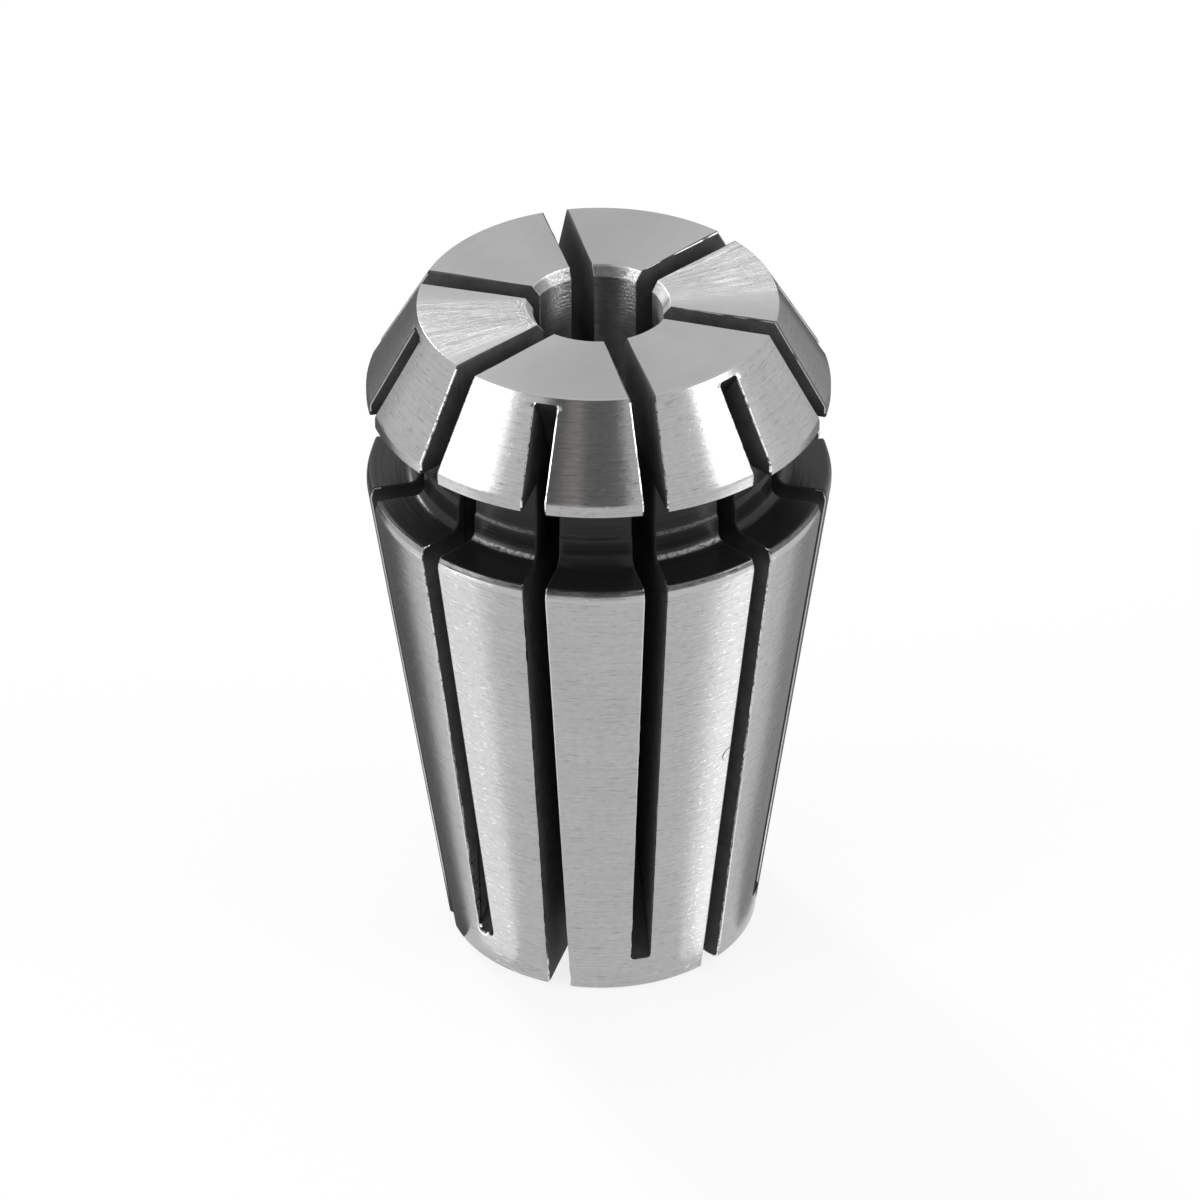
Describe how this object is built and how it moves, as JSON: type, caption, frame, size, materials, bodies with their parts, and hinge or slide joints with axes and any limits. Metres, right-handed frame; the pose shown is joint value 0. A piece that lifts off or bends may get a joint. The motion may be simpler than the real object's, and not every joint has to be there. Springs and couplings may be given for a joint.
{
  "type": "er collet",
  "caption": "One-piece spring collet: seating taper, extraction groove, nose cone and clamping bore, with slots sawn alternately from the front and the rear.",
  "frame": {"origin": "centre of the small rear face, on the collet's axis, so the part stands on Z = 0", "axes": "+Z along the axis from the rear face to the front face with the bore's mouth; +X through the middle of a front slot"},
  "size_m": [0.0114, 0.0114, 0.018],
  "materials": {
    "collet_steel": "fine-ground taper and nose, turned front face, dark heat-treatment scale in the slots and the groove"
  },
  "bodies": {
    "root": {"collet": "collet_steel"}
  },
  "joints": []
}
